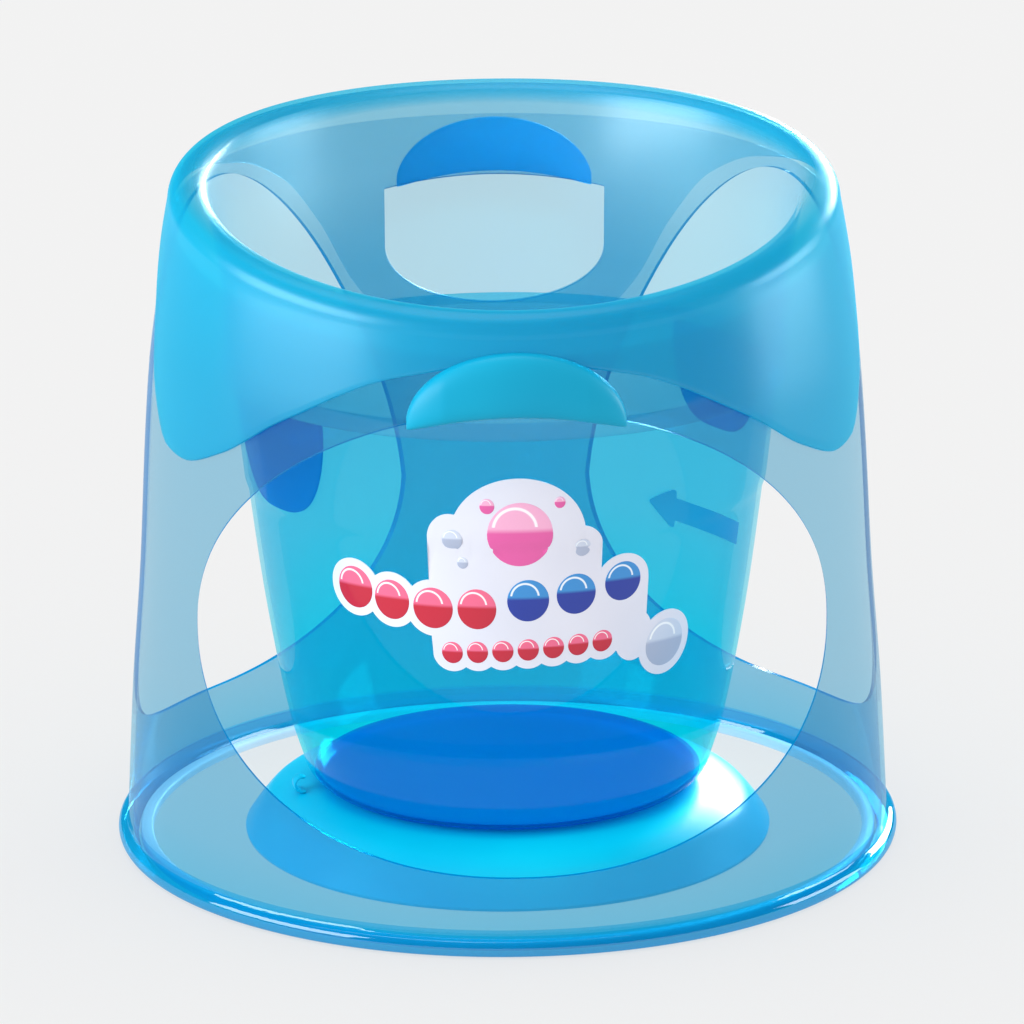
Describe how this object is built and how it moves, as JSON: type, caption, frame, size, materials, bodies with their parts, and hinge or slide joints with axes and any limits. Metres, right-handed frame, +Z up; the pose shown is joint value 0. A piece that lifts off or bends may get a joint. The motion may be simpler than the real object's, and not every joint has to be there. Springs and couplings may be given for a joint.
{
  "type": "bucket baby bathtub with stand",
  "caption": "Bucket-shaped baby bathtub hung from a rolled, front-lowered rim ring in a clear tapered stand with large windows, hand grips and a suction cup below.",
  "frame": {"origin": "middle of the foot, on the surface the tub stands on", "axes": "+Z up, the front of the tub with the low side of the rim towards -Y, +X to the right seen from the front"},
  "size_m": [0.4492, 0.4492, 0.4028],
  "materials": {
    "clear_blue": "clear light-blue polished plastic",
    "foot_rubber": "pale matte rubber",
    "satin_blue": "translucent satin blue plastic",
    "grip_cyan": "opaque cyan plastic, semi-gloss",
    "tab_blue": "deep blue plastic",
    "bucket_blue": "clear blue polished plastic",
    "arrow_blue": "printed blue film",
    "label_white": "printed label film",
    "cup_cyan": "glossy soft cyan vinyl"
  },
  "bodies": {
    "support": {"support_shell": "clear_blue", "foot_ring": "foot_rubber"},
    "rim": {"rim_ring": "satin_blue", "grip_front": "grip_cyan", "grip_back": "grip_cyan", "lock_tab_left": "tab_blue", "lock_tab_right": "tab_blue"},
    "tub": {"bucket": "bucket_blue", "twist_arrow": "arrow_blue", "front_label": "label_white", "suction_cup": "cup_cyan"},
    "tab": {"pull_tab": "cup_cyan"}
  },
  "joints": [
    {"name": "rim_lift", "type": "slide", "parent": "support", "child": "rim", "axis": [0, 0, 1], "range_m": [0, 0.4]},
    {"name": "bucket_twist", "type": "hinge", "parent": "rim", "child": "tub", "pos_m": [0, 0, 0.24], "axis": [0, 0, 1], "range_deg": [-25, 0]},
    {"name": "tab_bend", "type": "hinge", "parent": "tub", "child": "tab", "pos_m": [-0.11571, -0.0204, 0.0283], "axis": [0.1736, -0.9848, 0], "range_deg": [-25, 0]}
  ]
}
